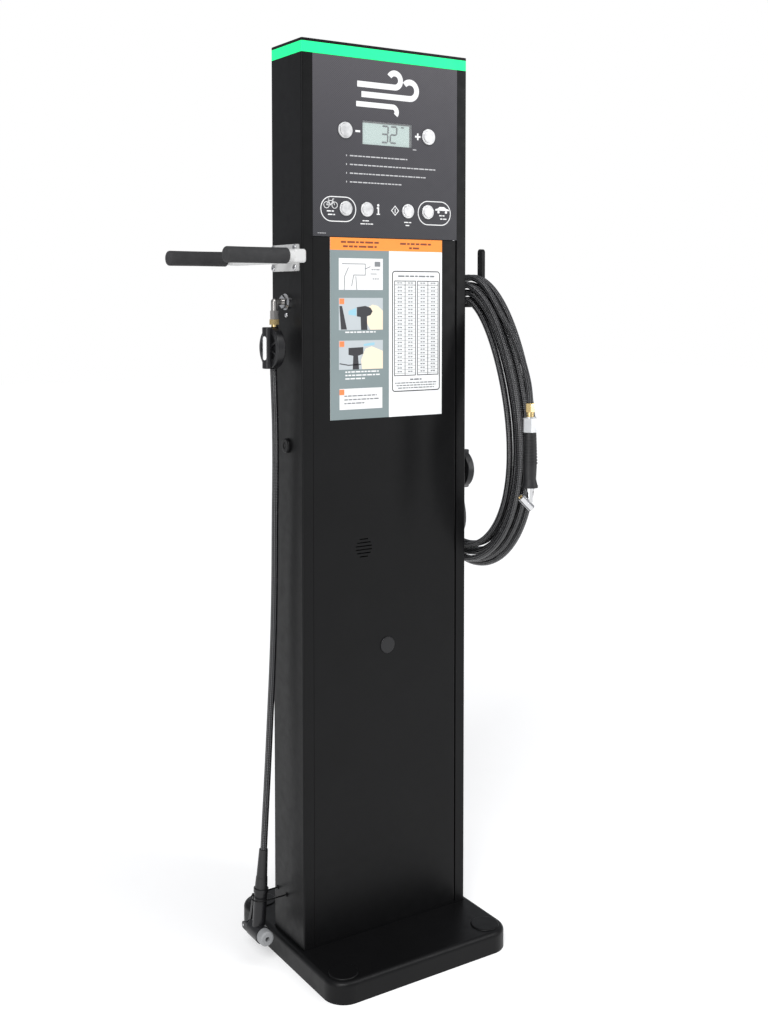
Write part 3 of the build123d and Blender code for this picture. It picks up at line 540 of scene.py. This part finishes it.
def make_display():
    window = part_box("lcd_window")
    left, right = window[0].x / MM, window[1].x / MM
    low, high = window[0].z / MM, window[1].z / MM
    face = Print("lcd_face", PANEL_Y + 2.4, "lcd_face", slot="lcd")
    face.box(left, low, right - 3.6, high - 3.0)
    face.done()
    # Painted shadow of the recess walls: dark strips along the window's top and right edges.
    recess_shade = Print("lcd_recess_painted_shade", PANEL_Y + 2.4, "ink", slot="lcd")
    recess_shade.box(left, high - 2.8, right, high)
    recess_shade.box(right - 3.4, low, right, high - 3.0)
    recess_shade.done()
    ink = Print("lcd_digits", PANEL_Y + 2.2, "lcd_ink", slot="lcd")

    def digit(x, lit):
        """Seven-segment figure, leaning a little."""
        wide, tall, thick, base = 12.0, 13.2, 2.9, low + 5.5
        bars = {"a": ((0, 2), (1, 2)), "g": ((0, 1), (1, 1)), "d": ((0, 0), (1, 0)), "f": ((0, 1), (0, 2)),
                "b": ((1, 1), (1, 2)), "e": ((0, 0), (0, 1)), "c": ((1, 0), (1, 1))}
        for key in lit:
            ends = [Vector((x + u * wide + v * tall * 0.05, base + v * tall)) for u, v in bars[key]]
            way = (ends[1] - ends[0]).normalized()
            side = Vector((-way.y, way.x)) * thick / 2
            tip = way * thick / 2
            gap = way * 0.25
            a, b = ends[0] + gap, ends[1] - gap
            ink.face([a, a + tip + side, b - tip + side, b, b - tip - side, a + tip - side])

    digit(-10.5, "abgcd")
    digit(6.5, "abged")
    ink.words(28, high - 6, 37, 2.2, 4)
    ink.done()


def make_sheet_print():
    low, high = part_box("instruction_sheet")
    wide = (high.x - low.x) / MM
    tall = (high.z - low.z) / MM
    corner = (low.x / MM, high.z / MM)
    y = low.y / MM - 0.02

    def layer(name, colour, level=0):
        return Print(name, y - 0.06 * level, colour, "door", "printed_sheet", corner, True)

    split = 112.0
    head = layer("sheet_header", "orange")
    head.box(0, 0, wide, 20)
    head.done()
    side = layer("sheet_side", "slate")
    side.box(0, 20, split, tall)
    side.done()
    pale = layer("sheet_pictures", "white", 1)
    boxes = [(16, 33, 100, 84), (16, 97, 100, 149), (16, 166, 100, 213), (17, 244, 99, 278)]
    for box in (boxes[0], boxes[3]):
        pale.box(*box)
    for seed, (x, v, right) in enumerate(((28, 152.5, 86), (28, 217, 92), (28, 222.5, 96), (28, 228, 68))):
        pale.words(x, v, right, 2.2, 30 + seed)
    pale.done()
    mist = layer("sheet_scenes", "mist", 1)
    for box in boxes[1:3]:
        mist.box(*box)
    mist.done()
    cream = layer("sheet_hands", "cream", 2)
    cream.face([(72, 112), (80, 108), (90, 110), (100, 118), (100, 149), (76, 149), (69, 138)])
    cream.face([(66, 180), (78, 176), (100, 184), (100, 213), (60, 213), (58, 198)])
    cream.done()
    sky = layer("sheet_air", "sky", 2)
    sky.face([(34, 118), (49, 113), (49, 126), (34, 124)])
    sky.face([(63, 172), (84, 169.5), (84, 174), (63, 175.5)])
    sky.done()
    ink = layer("sheet_lines", "ink", 3)
    ink.face([(17, 110), (22, 110), (31, 148), (20, 148)])
    ink.face([(50, 112), (66, 110), (76, 113), (80, 119), (76, 125), (69, 127),
              (70, 149), (58, 149), (57, 128), (50, 127)])
    ink.face([(34, 178), (62, 177), (62, 188), (52, 191), (54, 213), (42, 213), (43, 191), (34, 189)])
    ink.ribbon([(17, 203), (34, 206), (58, 205)], 1.6)
    ink.ribbon(rounded_outline(119, 53, 214, 252, 5), 1.6, True)
    for x0, x1 in ((123, 165), (169, 211)):
        ink.ribbon([(x0, 69), (x1, 69), (x1, 226), (x0, 226)], 1.2, True)
        ink.box((x0 + x1) / 2 - 0.5, 69.7, (x0 + x1) / 2 + 0.5, 225.3)
        ink.box(x0 + 0.7, 75.1, (x0 + x1) / 2 - 0.6, 75.9)
        ink.box((x0 + x1) / 2 + 0.6, 75.1, x1 - 0.7, 75.9)
    ink.done()
    fine = layer("sheet_rows", "grey", 3)
    for x0, x1 in ((123, 165), (169, 211)):
        middle = (x0 + x1) / 2
        for left, right in ((x0, middle), (middle, x1)):
            centre = (left + right) / 2
            fine.words(centre - 5, 72.2, centre + 5, 1.6, 60)
            for row in range(24):
                v = 79.2 + 6.1 * row
                fine.box(left + 0.7, v + 2.75, right - 0.7, v + 3.2)
                fine.box(centre - 4.4, v - 0.9, centre - 0.6, v + 0.9)
                fine.box(centre + 0.6, v - 0.9, centre + 4.4, v + 0.9)
    fine.words(130, 61, 203, 2.6, 70)
    fine.words(154, 233, 178, 2.4, 71)
    for row, (x0, x1) in enumerate(((124, 209), (127, 206), (130, 203))):
        fine.words(x0, 238.5 + 4.2 * row, x1, 1.7, 72 + row)
    for row, x1 in enumerate((88, 92, 64)):
        fine.words(26, 256 + 6 * row, x1, 2.0, 80 + row)
    for points in ([(22, 42), (66, 42), (66, 60), (44, 60), (40, 78)], [(26, 84), (27, 62), (34, 48)],
                   [(48, 62), (50, 84)], [(66, 50), (76, 46)], [(76, 58), (88, 58)]):
        fine.ribbon(points, 1.2)
    fine.box(84, 38, 95, 46)
    fine.words(78, 51, 95, 1.6, 90)
    fine.words(80, 66, 92, 1.6, 91)
    fine.done()
    marks = layer("sheet_numbers", "peach", 3)
    for x, v in ((17, 98), (17, 167), (17, 245)):
        marks.box(x, v, x + 9, v + 9)
    marks.done()
    title = layer("sheet_title", "umber", 3)
    for seed, (x0, v, x1) in enumerate(((20, 7, 92), (24, 14, 88), (134, 7.5, 196), (152, 14.5, 176))):
        title.words(x0, v, x1, 3.0, 40 + seed)
    title.done()


make_panel_print()
make_display()
make_sheet_print()


# ---------------------------------------------------------------- turned pieces
def turned(name, profile, origin, axis, material, body="tower", sides=64):
    """Piece turned about an axis from (distance, radius) pairs, in millimetres."""
    shape = bmesh.new()
    rings = []
    for along, radius in profile:
        if radius <= 0:
            rings.append([shape.verts.new((0, 0, along * MM))])
            continue
        rings.append([shape.verts.new((radius * MM * math.cos(t), radius * MM * math.sin(t), along * MM))
                      for t in (2 * math.pi * i / sides for i in range(sides))])
    for one, two in zip(rings, rings[1:]):
        for i in range(sides):
            j = (i + 1) % sides
            if len(one) == 1:
                shape.faces.new((one[0], two[j], two[i]))
            elif len(two) == 1:
                shape.faces.new((one[i], one[j], two[0]))
            else:
                shape.faces.new((one[i], one[j], two[j], two[i]))
    bmesh.ops.recalc_face_normals(shape, faces=shape.faces)
    for face in shape.faces:
        face.smooth = True
    turn = Vector(axis).to_track_quat("Z", "Y").to_matrix().to_4x4()
    shape.transform(turn)
    bmesh.ops.translate(shape, vec=Vector(origin) * MM, verts=shape.verts)
    mesh = bpy.data.meshes.new(name)
    shape.to_mesh(mesh)
    shape.free()
    return add(name, mesh, material, body)


def soft_end(start, radius, round_by, inward=False, steps=6):
    """Profile points of a rounded end."""
    points = []
    for i in range(steps + 1):
        turn = math.pi / 2 * i / steps
        along = round_by * (1 - math.sin(turn))
        out = radius - round_by * (1 - math.cos(turn))
        points.append((start + (-along if inward else along), out))
    return points if inward else points[::-1]


def make_sleeves():
    """Two foam sleeves on the rest, closed at the outer end, with a faint waist from the moulding."""
    low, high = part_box("rest_sleeves")
    radius = (high.z - low.z) / 2 / MM
    length = (high.x - low.x) / MM
    level = (high.z + low.z) / 2 / MM
    for name, y in (("sleeve_front", low.y / MM + radius), ("sleeve_rear", high.y / MM - radius)):
        profile = [(0, 0), (0.2, radius * 0.35), (0, radius * 0.55)]
        profile += [(p, r) for p, r in soft_end(0, radius, 4.5)]
        profile += [(p, radius - 0.18 * math.sin(math.pi * (p - 8) / (length - 16)))
                    for p in (8 + (length - 16) * i / 12 for i in range(13))]
        profile += soft_end(length, radius, 1.8, inward=True)
        profile += [(length - 0.3, 10.4), (length - 3, 10.15)]
        piece = turned(name, profile, (low.x / MM, y, level), (1, 0, 0),
                       MATERIALS["foam_rubber"])
    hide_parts("rest_sleeves")
    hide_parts("rest_sleeves")


LABEL_AXIS, LABEL_R = 9.4, 9.52   # barrel radius and label radius, mm


def make_label():
    """Blank white label bent round the barrel of the left-hand in-line body."""
    low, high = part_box("inline_barrels")
    centre_x, radius = low.x / MM + LABEL_AXIS, LABEL_R
    top = high.z / MM
    middle, half, wide = top - 33.5, 19.0, 3.6
    shape = bmesh.new()
    rows, columns = 24, 12
    grid = []
    for column in range(columns + 1):
        across = wide * (2 * column / columns - 1)
        reach = half - wide + math.sqrt(max(0.0, wide ** 2 - across ** 2))
        turn = math.radians(180 + 24) + across / radius
        x, y = centre_x + radius * math.cos(turn), radius * math.sin(turn)
        grid.append([shape.verts.new(Vector((x, y, middle + reach * (2 * row / rows - 1))) * MM)
                     for row in range(rows + 1)])
    for one, two in zip(grid, grid[1:]):
        for row in range(rows):
            shape.faces.new((one[row], two[row], two[row + 1], one[row + 1]))
    bmesh.ops.recalc_face_normals(shape, faces=shape.faces)
    mesh = bpy.data.meshes.new("barrel_label")
    shape.to_mesh(mesh)
    shape.free()
    piece = add("barrel_label", mesh, PRINT["white"])
    thick = piece.modifiers.new("thick", "SOLIDIFY")
    thick.thickness = 0.0002


make_sleeves()
make_label()


# ---------------------------------------------------------------- studio
def area(name, place, target, size, power, colour=(1, 1, 1)):
    data = bpy.data.lights.new(name, "AREA")
    data.shape = "RECTANGLE"
    data.size, data.size_y = size
    data.energy = power
    data.color = colour
    lamp = bpy.data.objects.new(name, data)
    lamp.location = place
    lamp.rotation_euler = (Vector(target) - Vector(place)).to_track_quat("-Z", "Y").to_euler()
    SCENE.collection.objects.link(lamp)


def sun(name, way, power, soft):
    data = bpy.data.lights.new(name, "SUN")
    data.energy = power
    data.angle = math.radians(soft)
    lamp = bpy.data.objects.new(name, data)
    lamp.rotation_euler = Vector(way).to_track_quat("-Z", "Y").to_euler()
    SCENE.collection.objects.link(lamp)


FLOOR_GLOW = 0.47   # emission strength of the floor


def make_studio():
    floor = bpy.data.meshes.new("floor")
    shape = bmesh.new()
    bmesh.ops.create_grid(shape, x_segments=2, y_segments=2, size=14)
    shape.to_mesh(floor)
    shape.free()
    ground = bpy.data.objects.new("floor", floor)
    floor.materials.append(surface("floor_paper", (0.60, 0.60, 0.60), 0.9, vary=0.01, specular=0.1))
    paper = floor.materials[0].node_tree.nodes["Principled BSDF"]
    paper.inputs["Emission Color"].default_value = (1, 1, 1, 1)
    paper.inputs["Emission Strength"].default_value = FLOOR_GLOW
    SCENE.collection.objects.link(ground)

    world = bpy.data.worlds.new("studio")
    world.use_nodes = True
    SCENE.world = world
    tree = world.node_tree
    seen = tree.nodes["Background"]
    seen.inputs["Color"].default_value = (1, 1, 1, 1)
    seen.inputs["Strength"].default_value = 1.0
    lighting = tree.nodes.new("ShaderNodeBackground")
    lighting.inputs["Color"].default_value = (0.93, 0.95, 1.0, 1)
    lighting.inputs["Strength"].default_value = 0.42
    path = tree.nodes.new("ShaderNodeLightPath")
    mix = tree.nodes.new("ShaderNodeMixShader")
    tree.links.new(path.outputs["Is Camera Ray"], mix.inputs["Fac"])
    tree.links.new(lighting.outputs["Background"], mix.inputs[1])
    tree.links.new(seen.outputs["Background"], mix.inputs[2])
    tree.links.new(mix.outputs["Shader"], tree.nodes["World Output"].inputs["Surface"])

    sun("key", (0.62, 0.75, -0.95), 1.55, 24)
    sun("fill", (-0.35, 0.55, -1.0), 0.75, 40)
    area("streak", (-1.9, -1.3, 1.3), (-0.1, 0, 0.8), (0.25, 2.2), 16)
    area("glint", (1.6, -1.8, 1.5), (0.1, 0, 0.8), (0.25, 1.8), 12)
    SCENE.view_settings.view_transform = "Standard"


make_studio()

bpy.context.view_layer.update()
